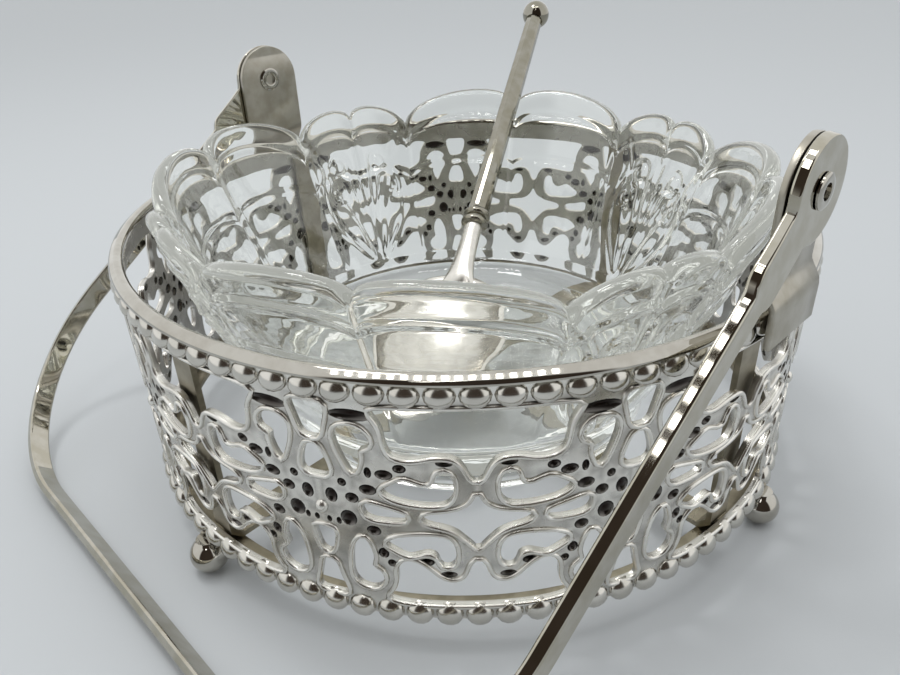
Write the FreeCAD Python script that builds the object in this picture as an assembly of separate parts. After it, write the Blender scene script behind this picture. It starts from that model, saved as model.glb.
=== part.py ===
"""Honey dish: a plated filigree basket on ball feet, its swing bail, a pressed-glass dish and a spoon.

Millimetres, +Z up. The origin is on the basket's axis at table level. The ears stand on the X axis and
the bail lies down toward -Y with its grip on the table. Azimuths are degrees from +X toward +Y.
"""
import FreeCAD, Part
import os
from math import acos, atan2, cos, degrees, hypot, pi, radians, sin, sqrt, tan

from FreeCAD import Vector

# Gallery: the pierced wall and its two rows of beads
wall_radius = 52.0
wall_thickness = 0.9
wall_bottom = 5.5
wall_top = 39.6
wall_flats_per_motif = 4
bead_count = 90
bead_sides = 6
bead_radius = 1.6
bead_relief = 0.65
bead_root_share = 0.35
first_bead_azimuth = -44.26
upper_bead_height = 38.2
lower_bead_height = 6.9
openwork_top = 37.2
openwork_bottom = 8.3

# Filigree motif, repeated round the wall
motif_count = 9
first_motif_azimuth = -24.26
motif_height_share = 0.475
petal_round_radius = 2.1
petal_round_steps = 4
petal_round_overlap = 20.0
petal_tip_width = 0.7

# Top rim, base ring and the two cradle straps under the dish
rim_width = 2.2
rim_height = 1.6
rim_flats_per_motif = 4
rim_crown_shares = ((1.0, 0.0), (0.93, 0.38), (0.70, 0.76), (0.30, 1.0))
ring_width = 2.3
ring_thickness = 1.0
ring_bottom = 5.7
strap_width = 4.0
strap_thickness = 0.8
strap_bend = 1.6
strap_top = 38.4
strap_azimuths = (-4.0, -87.0)
crossing_flat = 6.0
crossing_slope = 4.0
strap_play = 0.06

# Ball feet
ball_radius = 2.75
ball_flat_radius = 0.5
ball_neck_radius = 1.2
ball_out = 0.9
ball_steps = 6
ball_azimuths = (-90.26, 9.74, 89.74, 189.74)

# Ears, rivets and their fits
pivot_height = 54.1
ear_radius = 6.0
ear_thickness = 0.9
ear_foot = 36.9
ear_eye_face = 51.6
joggle_low = 41.6
joggle_high = 43.8
rivet_radius = 1.5
rivet_bore = 1.0
rivet_head_radius = 2.1
rivet_head_height = 0.45
paddle_gap = 0.25
paddle_play = 0.12
hinge_clearance = 0.08

# Bail
paddle_thickness = 1.2
paddle_radius = 6.0
neck_width = 6.2
neck_length = 12.0
strip_width = 3.6
strip_thickness = 1.5
strip_start = 11.0
grip_distance = 82.2
corner_radius = 27.0
bail_lean = 5.15
bail_spread = 3.15

# Glass dish: four wide units of two big lobes between four narrow units of two small lobes
dish_first_azimuth = -0.6
dish_units = 4
steps_per_big_lobe = 5
steps_per_small_lobe = 3
big_lobe_angle = 30.0
small_lobe_angle = 15.0
dish_foot_radius = 31.5
dish_foot_flare = 0.8
dish_foot_land = 4.5
dish_recess = 1.6
dish_floor = 13.6
dish_floor_radius = 27.0
dish_cove_height = 2.8
dish_cove_width = 4.4
dish_step_height = 17.2
dish_step_width = 2.6
dish_step_drop = 1.9
dish_waist_height = 30.0
dish_wall = 3.0
dish_rim_wall = 2.6
dish_rim_edge = 0.8
big_peak_height = 48.7
small_peak_height = 47.0
notch_height = 42.6
big_dip_height = 45.6
small_dip_height = 45.2
big_peak_radius = 47.6
small_peak_radius = 46.9
notch_radius = 44.9
dip_radius = 45.6
waist_lobing_share = 0.5

# Spoon: it leans in a dip of the dish's far rim with its bowl on the floor of the dish
spoon_azimuth = 117.3
spoon_aside = 2.1
spoon_tilt = 30.0
collar_distance = 15.4
collar_height = 31.7
collar_length = 3.4
collar_radius = 2.5
collar_groove = 0.5
stem_sides = 6
stem_low_width = 4.1
stem_high_width = 3.7
stem_length = 58.3
finial_radius = 2.9
finial_seat = 2.2
finial_steps = 6
shank_length = 12.0
shank_width = 3.4
heel_width = 7.0
heel_thickness = 1.8
bowl_length = 32.0
bowl_width = 22.0
bowl_depth = 6.3
bowl_thickness = 0.9
bowl_tilt = 14.0
bowl_overlap = 2.0
bowl_sides = 16
bowl_steps = 3
bowl_point_share = 0.12
floor_clearance = 0.3

# Sides of the small turned pieces, and how far a cutter runs past what it cuts
turning_sides = 12
cut_overrun = 2.0
flat_tolerance = 1e-6

X_AXIS = Vector(1, 0, 0)
Y_AXIS = Vector(0, 1, 0)
Z_AXIS = Vector(0, 0, 1)
ORIGIN = Vector(0, 0, 0)

wall_inside = wall_radius - wall_thickness / 2
wall_outside = wall_radius + wall_thickness / 2
wall_flats = motif_count * wall_flats_per_motif
wall_clear = wall_inside * cos(pi / wall_flats)
rim_outside = wall_radius + rim_width / 2
half_cell = pi * wall_radius / motif_count
openwork_height = openwork_top - openwork_bottom
motif_height = openwork_bottom + openwork_height * motif_height_share
strap_level = ring_bottom + ring_thickness
dish_bottom = strap_level + strap_thickness

# Outlines of the windows in one motif. The first number of each point is a share of half the motif's
# width, from its middle. The second is a share of the openwork's height, from the motif's middle.
side_window_shares = (
    (0.41, 0.138), (0.51, 0.093), (0.70, 0.078), (0.85, 0.112), (0.85, 0.222), (0.78, 0.238),
    (0.735, 0.185), (0.63, 0.180), (0.55, 0.195),
)
waist_window_shares = ((0.29, 0.052), (0.29, -0.022), (0.57, -0.010), (0.57, 0.026))
upper_crotch_shares = ((0.05, 0.322), (0.11, 0.186))
upper_cleft_shares = ((0.068, 0.360), (0.100, 0.436))
lower_crotch_shares = ((0.07, -0.103), (0.04, -0.236))
lower_cleft_shares = ((0.05, -0.277), (0.083, -0.363))
cleft_mouth_share = 0.125

# Outlines of the windows on the line between two motifs, as the same shares but from that line
star_shares = (
    (0.0, 0.142), (0.10, 0.058), (0.355, 0.026), (0.355, -0.012), (0.10, -0.052), (0.0, -0.148),
)
upper_field_shares = (
    (0.0, 0.190), (0.060, 0.225), (0.100, 0.290), (0.210, 0.306), (0.350, 0.280), (0.480, 0.270),
    (0.545, 0.385),
)
lower_field_shares = (
    (0.0, -0.195), (0.060, -0.225), (0.090, -0.295), (0.190, -0.320), (0.300, -0.275),
    (0.375, -0.222), (0.485, -0.204), (0.530, -0.325),
)
field_mouth_share = 0.63
upper_petal_shares = (0.265, 0.374, 0.207)
lower_petal_shares = (0.275, -0.310, -0.112)


def polar(radius, azimuth, height):
    """The point at a radius and azimuth round the axis."""
    return Vector(radius * cos(radians(azimuth)), radius * sin(radians(azimuth)), height)


def turned(shape, azimuth):
    """A copy of a shape made on the X axis, turned to its azimuth."""
    copy = shape.copy()
    copy.rotate(ORIGIN, Z_AXIS, azimuth)
    return copy


def face_of(points):
    """A flat face inside a closed run of points."""
    return Part.Face(Part.makePolygon(list(points) + [points[0]]))


def patch(a, b, c, d):
    """The face or pair of faces between two edges, a to b and d to c."""
    normal = (b - a).cross(c - a)
    if normal.Length and abs((d - a).dot(normal)) < flat_tolerance * normal.Length:
        return [face_of([a, b, c, d])]
    return [face_of([a, b, c]), face_of([a, c, d])]


def skinned(rings):
    """A solid of flat faces through rings of equally many points. The first and last ring are flat."""
    faces = [face_of(rings[0]), face_of(rings[-1])]
    for low, high in zip(rings, rings[1:]):
        for number in range(len(low)):
            faces += patch(low[number - 1], low[number], high[number], high[number - 1])
    solid = Part.Solid(Part.Shell(faces))
    solid.fix(flat_tolerance, flat_tolerance, flat_tolerance)
    if solid.Volume < 0:
        solid.reverse()
    return solid


def flat_ring(radius, height, flats, start):
    """The corners of a regular outline round the axis."""
    return [polar(radius, start + 360 * number / flats, height) for number in range(flats)]


def flat_sided(radius, bottom, top, flats, start):
    """A solid prism of flat sides round the axis."""
    face = face_of(flat_ring(radius, bottom, flats, start))
    return face.extrude(Z_AXIS * (top - bottom))


def wall_cutter(outline, azimuth):
    """A prism that cuts an outline through the gallery wall, drawn flat at the window's own azimuth.

    Each point of the outline is its distance along the wall from that azimuth, and its height.
    """
    start = wall_inside - cut_overrun
    face = face_of([Vector(start, across, height) for across, height in outline])
    return turned(face.extrude(X_AXIS * (wall_thickness + 2 * cut_overrun)), azimuth)


def on_wall(azimuth, side, points):
    """One window's cutter. The points are distances along the wall from an azimuth, and rises."""
    middle = (min(across for across, rise in points) + max(across for across, rise in points)) / 2
    outline = [(side * (across - middle), motif_height + rise) for across, rise in points]
    return wall_cutter(outline, azimuth + side * degrees(middle / wall_radius))


def sized(shares):
    """Shares of the motif turned into distances along the wall and rises."""
    return [(across * half_cell, rise * openwork_height) for across, rise in shares]


def both_sides(points):
    """A run of points from a middle line to an edge, and its mirror image, as one outline."""
    return points + [(-across, rise) for across, rise in reversed(points) if across > 0]


def petal_window(shares):
    """A drop: a round end away from the middle of the motif, and a narrow tip toward it."""
    across, round_rise, tip_rise = shares
    centre = across * half_cell
    reach = round_rise * openwork_height
    outward = 1 if round_rise > 0 else -1
    points = []
    for step in range(petal_round_steps + 1):
        sweep = 180 + 2 * petal_round_overlap
        angle = radians(sweep * step / petal_round_steps - petal_round_overlap)
        points.append((
            centre + petal_round_radius * cos(angle),
            reach + outward * petal_round_radius * sin(angle),
        ))
    tip = tip_rise * openwork_height
    return points + [(centre - petal_tip_width / 2, tip), (centre + petal_tip_width / 2, tip)]


def motif_windows(azimuth):
    """The windows that belong to one motif: petals, side loops, waist and the gaps between petals."""
    windows = []
    for side in (-1, 1):
        windows.append(on_wall(azimuth, side, petal_window(upper_petal_shares)))
        windows.append(on_wall(azimuth, side, petal_window(lower_petal_shares)))
        windows.append(on_wall(azimuth, side, sized(side_window_shares)))
        windows.append(on_wall(azimuth, side, [(a, -r) for a, r in sized(side_window_shares)]))
        windows.append(on_wall(azimuth, side, sized(waist_window_shares)))
    for crotch in (upper_crotch_shares, lower_crotch_shares):
        windows.append(on_wall(azimuth, 1, both_sides(sized(crotch))))
    mouth = cleft_mouth_share * half_cell
    for cleft, edge in ((upper_cleft_shares, openwork_top), (lower_cleft_shares, openwork_bottom)):
        points = sized(cleft) + [(mouth, edge - motif_height)]
        windows.append(on_wall(azimuth, 1, both_sides(points)))
    return windows


def field_windows(azimuth):
    """The windows on the line between two motifs: the star, and the wide fields above and below it."""
    windows = [on_wall(azimuth, 1, both_sides(sized(star_shares)))]
    mouth = field_mouth_share * half_cell
    for field, edge in ((upper_field_shares, openwork_top), (lower_field_shares, openwork_bottom)):
        points = sized(field) + [(mouth, edge - motif_height)]
        windows.append(on_wall(azimuth, 1, both_sides(points)))
    return windows


def bead():
    """One bead on the X axis at height zero: a low point of flat sides, rooted inside the wall."""
    root = wall_outside - wall_thickness * bead_root_share
    back = []
    for side in range(bead_sides):
        angle = 2 * pi * side / bead_sides
        back.append(Vector(root, bead_radius * cos(angle), bead_radius * sin(angle)))
    tip = Vector(wall_outside + bead_relief, 0, 0)
    faces = [face_of(back)]
    for number in range(bead_sides):
        faces.append(face_of([back[number - 1], back[number], tip]))
    solid = Part.Solid(Part.Shell(faces))
    if solid.Volume < 0:
        solid.reverse()
    return solid


def gallery_band():
    """The pierced wall, with a row of beads along each edge."""
    start = first_motif_azimuth
    wall = flat_sided(wall_outside, wall_bottom, wall_top, wall_flats, start)
    wall = wall.cut(flat_sided(wall_inside, wall_bottom, wall_top, wall_flats, start))
    windows = []
    for cell in range(motif_count):
        azimuth = first_motif_azimuth + cell * 360 / motif_count
        windows += motif_windows(azimuth)
        windows += field_windows(azimuth + 180 / motif_count)
    wall = wall.cut(Part.makeCompound(windows))
    one_bead = bead()
    beads = []
    for number in range(bead_count):
        azimuth = first_bead_azimuth + number * 360 / bead_count
        for height in (lower_bead_height, upper_bead_height):
            copy = turned(one_bead, azimuth)
            copy.translate(Z_AXIS * height)
            beads.append(copy)
    return wall.fuse(beads)


def top_rim():
    """The half-round wire soldered along the top of the gallery."""
    flats = motif_count * rim_flats_per_motif
    outer = []
    inner = []
    for out, up in rim_crown_shares:
        height = wall_top + rim_height * up
        reach = rim_width / 2 * out
        outer.append(flat_ring(wall_radius + reach, height, flats, first_motif_azimuth))
        inner.append(flat_ring(wall_radius - reach, height, flats, first_motif_azimuth))
    return skinned(outer).cut(skinned(inner))


def base_ring():
    """The flat ring inside the foot of the gallery, which carries the straps."""
    start = first_motif_azimuth
    outer = flat_sided(wall_clear, ring_bottom, strap_level, wall_flats, start)
    inside = wall_clear - ring_width
    return outer.cut(flat_sided(inside, ring_bottom, strap_level, wall_flats, start))


def strap_profile(lift):
    """Half of a strap seen from its side, from the middle out and up, as its lower line."""
    outer = wall_clear - strap_play
    points = [Vector(0, 0, strap_level + lift)]
    if lift:
        points.append(Vector(crossing_flat / 2, 0, strap_level + lift))
        points.append(Vector(crossing_flat / 2 + crossing_slope, 0, strap_level))
    points.append(Vector(outer - strap_bend, 0, strap_level))
    points.append(Vector(outer, 0, strap_level + strap_bend))
    points.append(Vector(outer, 0, strap_top))
    return points


def cradle_strap(azimuth, lift):
    """A flat strap under the dish, bent up inside the gallery at both ends."""
    lower = strap_profile(lift)
    upper = [point + Z_AXIS * strap_thickness for point in lower[:-3]]
    inner = wall_clear - strap_play - strap_thickness
    bend = strap_bend - strap_thickness / 2
    upper.append(Vector(inner - bend, 0, strap_level + strap_thickness))
    upper.append(Vector(inner, 0, strap_level + strap_thickness + bend))
    upper.append(Vector(inner, 0, strap_top))
    mirrored_lower = [Vector(-p.x, 0, p.z) for p in reversed(lower[1:])]
    mirrored_upper = [Vector(-p.x, 0, p.z) for p in upper[1:]]
    outline = mirrored_lower + lower + list(reversed(upper)) + mirrored_upper
    strap = face_of(outline).extrude(Y_AXIS * strap_width)
    strap.translate(Y_AXIS * (-strap_width / 2))
    return turned(strap, azimuth)


def ball_foot(azimuth):
    """A ball with a worn flat to stand on, and a solder neck up to the wall's lower edge."""
    low = -sqrt(ball_radius ** 2 - ball_flat_radius ** 2)
    high = sqrt(ball_radius ** 2 - ball_neck_radius ** 2)
    rings = []
    for step in range(ball_steps + 1):
        rise = (low + high) / 2 - (high - low) / 2 * cos(pi * step / ball_steps)
        radius = sqrt(ball_radius ** 2 - rise ** 2)
        rings.append(flat_ring(radius, rise - low, turning_sides, 0))
    rings.append(flat_ring(ball_neck_radius, wall_bottom, turning_sides, 0))
    foot = skinned(rings)
    foot.translate(X_AXIS * (wall_radius + ball_out))
    return turned(foot, azimuth)


def side_turn(side):
    """The turn that takes a piece made at +X to its side."""
    return 0 if side > 0 else 180


def ear(side):
    """A tab soldered outside the rim, joggled inward so that its eye is in line with the wall."""
    foot_face = rim_outside
    eye_face = ear_eye_face
    top = pivot_height + ear_radius
    rise = ear_thickness * (joggle_high - joggle_low) / hypot(
        joggle_high - joggle_low, foot_face - eye_face
    ) / 2
    inner = [(foot_face, ear_foot), (foot_face, joggle_low), (eye_face, joggle_high), (eye_face, top)]
    outer = [
        (eye_face + ear_thickness, top),
        (eye_face + ear_thickness, joggle_high + rise),
        (foot_face + ear_thickness, joggle_low + rise),
        (foot_face + ear_thickness, ear_foot),
    ]
    plate = face_of([Vector(x, -ear_radius, z) for x, z in inner + outer])
    plate = plate.extrude(Y_AXIS * (2 * ear_radius))
    reach = foot_face + ear_thickness
    shaft = Part.makeBox(
        reach, 2 * ear_radius, pivot_height - ear_foot, Vector(0, -ear_radius, ear_foot)
    )
    round_top = Part.makeCylinder(ear_radius, reach, Vector(0, 0, pivot_height), X_AXIS)
    hole = Part.makeCylinder(rivet_radius, reach, Vector(0, 0, pivot_height), X_AXIS)
    plate = plate.common(shaft.fuse(round_top)).cut(hole)
    return turned(plate.removeSplitter(), side_turn(side))


def rivet(side):
    """A tubular rivet: its inner head bears on the ear, and its outer head traps the bail's paddle."""
    inner_face = ear_eye_face
    outer_face = (
        ear_eye_face + ear_thickness + paddle_gap + paddle_thickness + paddle_play
    )
    profile = [
        (inner_face - rivet_head_height, rivet_bore),
        (inner_face - rivet_head_height, rivet_head_radius),
        (inner_face, rivet_head_radius),
        (inner_face, rivet_radius),
        (outer_face, rivet_radius),
        (outer_face, rivet_head_radius),
        (outer_face + rivet_head_height, rivet_head_radius),
        (outer_face + rivet_head_height, rivet_bore),
    ]
    face = face_of([Vector(x, 0, pivot_height + radius) for x, radius in profile])
    solid = face.revolve(Vector(0, 0, pivot_height), X_AXIS, 360)
    return turned(solid, side_turn(side))


def rounded_path(points, radius):
    """A wire through points, with a tangent arc in place of each inner corner."""
    edges = []
    start = points[0]
    for before, corner, after in zip(points, points[1:], points[2:]):
        back = (before - corner).normalize()
        ahead = (after - corner).normalize()
        half = back.getAngle(ahead) / 2
        reach = radius / tan(half)
        middle = (back + ahead).normalize() * (radius / sin(half) - radius)
        first = corner + back * reach
        last = corner + ahead * reach
        edges.append(Part.makeLine(start, first))
        edges.append(Part.Arc(first, corner + middle, last).toShape())
        start = last
    edges.append(Part.makeLine(start, points[-1]))
    return Part.Wire(edges)


def strip_section(centre):
    """The bail's section at the start of an arm: a flat bar."""
    corners = []
    for across, along in ((1, 1), (-1, 1), (-1, -1), (1, -1)):
        corner = Vector(across * strip_thickness / 2, along * strip_width / 2, 0)
        corners.append(centre + corner)
    return Part.makePolygon(corners + corners[:1])


def paddle(side):
    """The flat end of an arm: an eye for the rivet, a neck and a rounded shoulder."""
    near = ear_eye_face + ear_thickness + paddle_gap
    start = near if side > 0 else -near - paddle_thickness
    eye = Part.makeCylinder(paddle_radius, paddle_thickness, Vector(start, 0, 0), X_AXIS)
    neck = Part.makeBox(
        paddle_thickness, neck_width, neck_length, Vector(start, -neck_width / 2, -neck_length)
    )
    shoulder = Part.makeCylinder(
        neck_width / 2, paddle_thickness, Vector(start, 0, -neck_length), X_AXIS
    )
    return eye.fuse([neck, shoulder])


def bail_rest_angle():
    """The angle from straight down at which the lower edge of the grip meets the table."""
    reach = grip_distance + strip_thickness / 2
    half_wide = strip_width / 2
    return degrees(acos(pivot_height / hypot(reach, half_wide)) + atan2(half_wide, reach))


def bail():
    """The swing handle, made hanging straight down from its pivots and then laid forward."""
    arm_x = ear_eye_face + ear_thickness + paddle_gap + paddle_thickness / 2
    right_start = Vector(arm_x, 0, -strip_start)
    right_corner = Vector(arm_x - bail_lean + bail_spread, 0, -grip_distance)
    left_corner = Vector(-arm_x - bail_lean - bail_spread, 0, -grip_distance)
    left_start = Vector(-arm_x, 0, -strip_start)
    route = rounded_path([right_start, right_corner, left_corner, left_start], corner_radius)
    strip = route.makePipeShell([strip_section(right_start)], True, False)
    body = strip.fuse([paddle(1), paddle(-1)])
    hole = Part.makeCylinder(
        rivet_radius + hinge_clearance, 2 * rim_outside + 2 * cut_overrun,
        Vector(-rim_outside - cut_overrun, 0, 0), X_AXIS
    )
    body = body.cut(hole).removeSplitter()
    body.rotate(ORIGIN, X_AXIS, -bail_rest_angle())
    body.translate(Z_AXIS * pivot_height)
    return body


def arch(place):
    """The height of a round arch, as a share, at a place from -1 to 1 across it."""
    return sqrt(max(0.0, 1 - place * place))


def lobe_points(count, outer, inner, peak):
    """Heights along one lobe from the notch to the dip, as an arch on a sloping base."""
    values = []
    for step in range(count):
        along = step / count
        base = outer + (inner - outer) * along
        values.append(base + (peak - (outer + inner) / 2) * arch(2 * along - 1))
    return values


def lobed(notch, big_dip, big_peak, small_dip, small_peak):
    """One value for each point round the rim: height or radius, lobe by lobe."""
    big = lobe_points(steps_per_big_lobe, notch, big_dip, big_peak)
    big_back = [big_dip] + list(reversed(big[1:]))
    small = lobe_points(steps_per_small_lobe, notch, small_dip, small_peak)
    small_back = [small_dip] + list(reversed(small[1:]))
    return (big + big_back + small + small_back) * dish_units


def dish_azimuths():
    """The azimuth of each point round the rim."""
    big = big_lobe_angle / steps_per_big_lobe
    small = small_lobe_angle / steps_per_small_lobe
    steps = ([big] * (2 * steps_per_big_lobe) + [small] * (2 * steps_per_small_lobe)) * dish_units
    azimuths = [dish_first_azimuth]
    for step in steps[:-1]:
        azimuths.append(azimuths[-1] + step)
    return azimuths


def dish_ring(radii, heights):
    """A closed run of points round the dish."""
    return [polar(r, a, h) for r, a, h in zip(radii, dish_azimuths(), heights)]


def glass_dish():
    """The pressed-glass dish: a foot, a flared wall in lobes, and a rim of big and small scallops."""
    rim_heights = lobed(
        notch_height, big_dip_height, big_peak_height, small_dip_height, small_peak_height
    )
    rim_radii = lobed(notch_radius, dip_radius, big_peak_radius, dip_radius, small_peak_radius)
    count = len(rim_radii)
    step_radius = dish_foot_radius + dish_foot_flare + dish_step_width
    run = (dish_waist_height - dish_step_height) / (notch_height - dish_step_height)
    waist = [
        step_radius + (notch_radius - step_radius) * run
        + (radius - notch_radius) * waist_lobing_share for radius in rim_radii
    ]
    cove_radius = dish_floor_radius + dish_cove_width

    def plain(radius, height):
        return dish_ring([radius] * count, [height] * count)

    rings = [
        plain(dish_floor_radius, dish_floor),
        plain(cove_radius, dish_floor + dish_cove_height),
        dish_ring([radius - dish_wall for radius in waist], [dish_waist_height] * count),
        dish_ring(
            [radius - dish_rim_wall for radius in rim_radii],
            [height - dish_rim_edge for height in rim_heights]
        ),
        dish_ring([radius - dish_rim_wall / 2 for radius in rim_radii], rim_heights),
        dish_ring(rim_radii, [height - dish_rim_edge for height in rim_heights]),
        dish_ring(waist, [dish_waist_height] * count),
        plain(step_radius, dish_step_height),
        plain(dish_foot_radius + dish_foot_flare, dish_step_height - dish_step_drop),
        plain(dish_foot_radius, dish_bottom),
    ]
    land = dish_foot_radius - dish_foot_land
    rings += [plain(land, dish_bottom), plain(land, dish_bottom + dish_recess)]
    return skinned(rings)


def spoon_point(distance, offset):
    """A point on the stem's line: its distance up from the collar, and its offset square to the stem."""
    tilt = radians(spoon_tilt)
    along = Vector(-cos(tilt), 0, sin(tilt)) * distance
    square = Vector(sin(tilt), 0, cos(tilt)) * offset
    return Vector(-collar_distance, 0, collar_height) + along + square


def spoon_placed(shape):
    """A copy of a piece of the spoon, turned from the X axis to where the spoon lies."""
    shape.translate(Y_AXIS * (-spoon_aside))
    return turned(shape, spoon_azimuth + 180)


def stem_section(distance, wide, thick, sides):
    """A closed outline square to the stem, of an even number of sides."""
    points = []
    for side in range(sides):
        angle = 2 * pi * (side + 0.5) / sides
        point = spoon_point(distance, thick / 2 * sin(angle))
        points.append(point + Y_AXIS * (wide / 2 * cos(angle)))
    return points


def spoon_stem():
    """The faceted handle, a little thicker at its collar than at its finial."""
    low = stem_section(collar_length / 2, stem_low_width, stem_low_width, stem_sides)
    high = stem_section(stem_length, stem_high_width, stem_high_width, stem_sides)
    return spoon_placed(skinned([low, high]))


def spoon_finial():
    """The ball on the end of the handle, flat where it meets the stem."""
    rings = []
    start = -finial_seat
    top = finial_radius * cos(pi / 2 / finial_steps)
    for step in range(finial_steps + 1):
        along = start + (top - start) * (1 - cos(pi * step / finial_steps)) / 2
        width = 2 * sqrt(finial_radius ** 2 - along ** 2)
        rings.append(stem_section(stem_length - start + along, width, width, turning_sides))
    return spoon_placed(skinned(rings))


def spoon_collar():
    """The collar between handle and shank: two rings with a groove between them."""
    half = collar_length / 2
    neck = 2 * (collar_radius - collar_groove)
    wide = 2 * collar_radius
    rings = []
    for place, width in ((-half, neck), (-half / 2, wide), (0, neck), (half / 2, wide), (half, neck)):
        rings.append(stem_section(place, width, width, turning_sides))
    return spoon_placed(skinned(rings))


def bowl_ring(share, depth):
    """One ring of the bowl round the origin: its egg outline at a share of its size, and its depth."""
    ring = []
    for side in range(bowl_sides):
        angle = 2 * pi * side / bowl_sides
        narrow = 1 - bowl_point_share * cos(angle)
        along = bowl_length / 2 * cos(angle)
        ring.append(Vector(share * along, share * bowl_width / 2 * sin(angle) * narrow, -depth))
    return ring


def bowl_rings(wall):
    """The rings of a half egg, from its rim down. The wall is how far it lies inside the outer face."""
    rings = []
    for step in range(bowl_steps + 1):
        angle = pi / 2 * step / (bowl_steps + 1)
        share = cos(angle) * (1 - 2 * wall / bowl_width)
        rings.append(bowl_ring(share, sin(angle) * (bowl_depth - wall)))
    rings.append(bowl_ring(rings[-1][0].x / bowl_length, bowl_depth - wall))
    return rings


def bowl_placed(shape, centre):
    """A piece of the bowl, tilted and moved to its place."""
    shape.rotate(ORIGIN, Y_AXIS, bowl_tilt)
    shape.translate(centre)
    return shape


def spoon_bowl():
    """The bowl with its widening shank, up to the collar. The bowl's belly lies on the dish's floor."""
    tilt = radians(bowl_tilt)
    half = bowl_length / 2
    belly = hypot(half * sin(tilt), bowl_depth * cos(tilt))
    heel = spoon_point(-collar_length / 2 - shank_length, 0)
    centre = Vector(
        heel.x + (half - bowl_overlap) * cos(tilt), 0, dish_floor + floor_clearance + belly
    )
    inner = bowl_rings(bowl_thickness)
    shell = bowl_placed(skinned(list(reversed(inner)) + bowl_rings(0)), centre)
    hollow = bowl_placed(skinned(inner), centre)
    back = Vector(cos(tilt), 0, -sin(tilt))
    square = Vector(sin(tilt), 0, cos(tilt))
    joint = centre - back * (half - bowl_overlap)
    bottom = []
    for side in range(stem_sides):
        angle = 2 * pi * (side + 0.5) / stem_sides
        lift = heel_thickness / 2 * (sin(angle) - 1)
        bottom.append(joint + square * lift + Y_AXIS * (heel_width / 2 * cos(angle)))
    top = stem_section(-collar_length / 2, shank_width, shank_width, stem_sides)
    shank = skinned([bottom, top])
    return spoon_placed(shell.fuse(shank.cut(hollow)))


def main():
    os.makedirs("parts", exist_ok=True)
    pieces = {
        "gallery_band": gallery_band(),
        "top_rim": top_rim(),
        "base_ring": base_ring(),
        "lower_cradle_strap": cradle_strap(strap_azimuths[0], 0),
        "upper_cradle_strap": cradle_strap(strap_azimuths[1], strap_thickness),
        "glass_dish": glass_dish(),
        "bail": bail(),
        "spoon_bowl": spoon_bowl(),
        "spoon_collar": spoon_collar(),
        "spoon_stem": spoon_stem(),
        "spoon_finial": spoon_finial(),
    }
    pieces["ball_feet"] = Part.makeCompound([ball_foot(azimuth) for azimuth in ball_azimuths])
    for name, side in (("right", 1), ("left", -1)):
        pieces[name + "_ear"] = ear(side)
        pieces[name + "_rivet"] = rivet(side)
    for name, shape in pieces.items():
        shape.exportStep(os.path.join("parts", name + ".step"))
        print(name, "solids", len(shape.Solids), "valid", shape.isValid(), "volume", round(shape.Volume, 1))
    print("bail rests", round(bail_rest_angle(), 2), "degrees from straight down")


main()
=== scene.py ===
# %% [markdown]
# # A honey dish: filigree basket, pressed-glass dish and spoon
#
# A low round basket of bright nickel plate carries a loose dish of clear pressed glass. Its wall is a
# stamped and pierced strip with a row of beads along each edge. This lesson loads the measured model as
# a fixed frame and then dresses each piece: smooth surfaces worked out with numpy, and finishes that
# start from what the real metal and glass are.

# %% Load the frame
from math import atan2, cos, degrees, hypot, pi, radians, sin

import bmesh
import bpy
import numpy as np
from mathutils import Matrix, Vector
from mathutils.geometry import delaunay_2d_cdt


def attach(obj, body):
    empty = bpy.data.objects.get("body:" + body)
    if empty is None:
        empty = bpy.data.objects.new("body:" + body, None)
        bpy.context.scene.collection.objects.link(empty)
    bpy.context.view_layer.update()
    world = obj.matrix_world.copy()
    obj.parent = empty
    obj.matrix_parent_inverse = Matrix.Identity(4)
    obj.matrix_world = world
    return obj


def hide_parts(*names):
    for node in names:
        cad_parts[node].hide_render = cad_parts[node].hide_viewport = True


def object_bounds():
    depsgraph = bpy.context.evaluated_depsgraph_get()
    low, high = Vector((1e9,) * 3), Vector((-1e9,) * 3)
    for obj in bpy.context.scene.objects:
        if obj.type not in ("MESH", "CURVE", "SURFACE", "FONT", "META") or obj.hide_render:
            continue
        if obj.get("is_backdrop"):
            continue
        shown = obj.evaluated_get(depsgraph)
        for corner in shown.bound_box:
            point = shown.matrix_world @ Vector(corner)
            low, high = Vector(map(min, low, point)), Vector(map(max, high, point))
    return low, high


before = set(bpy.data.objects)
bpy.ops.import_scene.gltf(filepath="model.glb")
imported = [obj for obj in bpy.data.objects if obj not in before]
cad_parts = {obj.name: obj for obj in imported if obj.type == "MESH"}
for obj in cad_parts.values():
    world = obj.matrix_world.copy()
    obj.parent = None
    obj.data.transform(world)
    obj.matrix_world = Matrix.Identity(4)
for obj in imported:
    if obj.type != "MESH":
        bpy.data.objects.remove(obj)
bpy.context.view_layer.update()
scene = bpy.context.scene

# %% [markdown]
# Everything is worked out in millimetres, as the maker would measure it, and turned into metres when a
# mesh is made. A surface is a grid of points, row by row. One helper turns such a grid into a mesh,
# closes its poles by merging, and marks the edges that are really sharp.

# %% From a grid of points to a mesh
MM = 0.001
merge_distance = 0.002 * MM


def grid_faces(rows, columns, close_rows, close_columns):
    """Four corners for each face of a grid whose points are numbered row by row."""
    i = np.arange(rows if close_rows else rows - 1)
    j = np.arange(columns if close_columns else columns - 1)
    i, j = (a.ravel() for a in np.meshgrid(i, j, indexing="ij"))
    i_next, j_next = (i + 1) % rows, (j + 1) % columns
    corners = (i * columns + j, i_next * columns + j, i_next * columns + j_next, i * columns + j_next)
    return np.stack(corners, axis=1).tolist()


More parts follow.
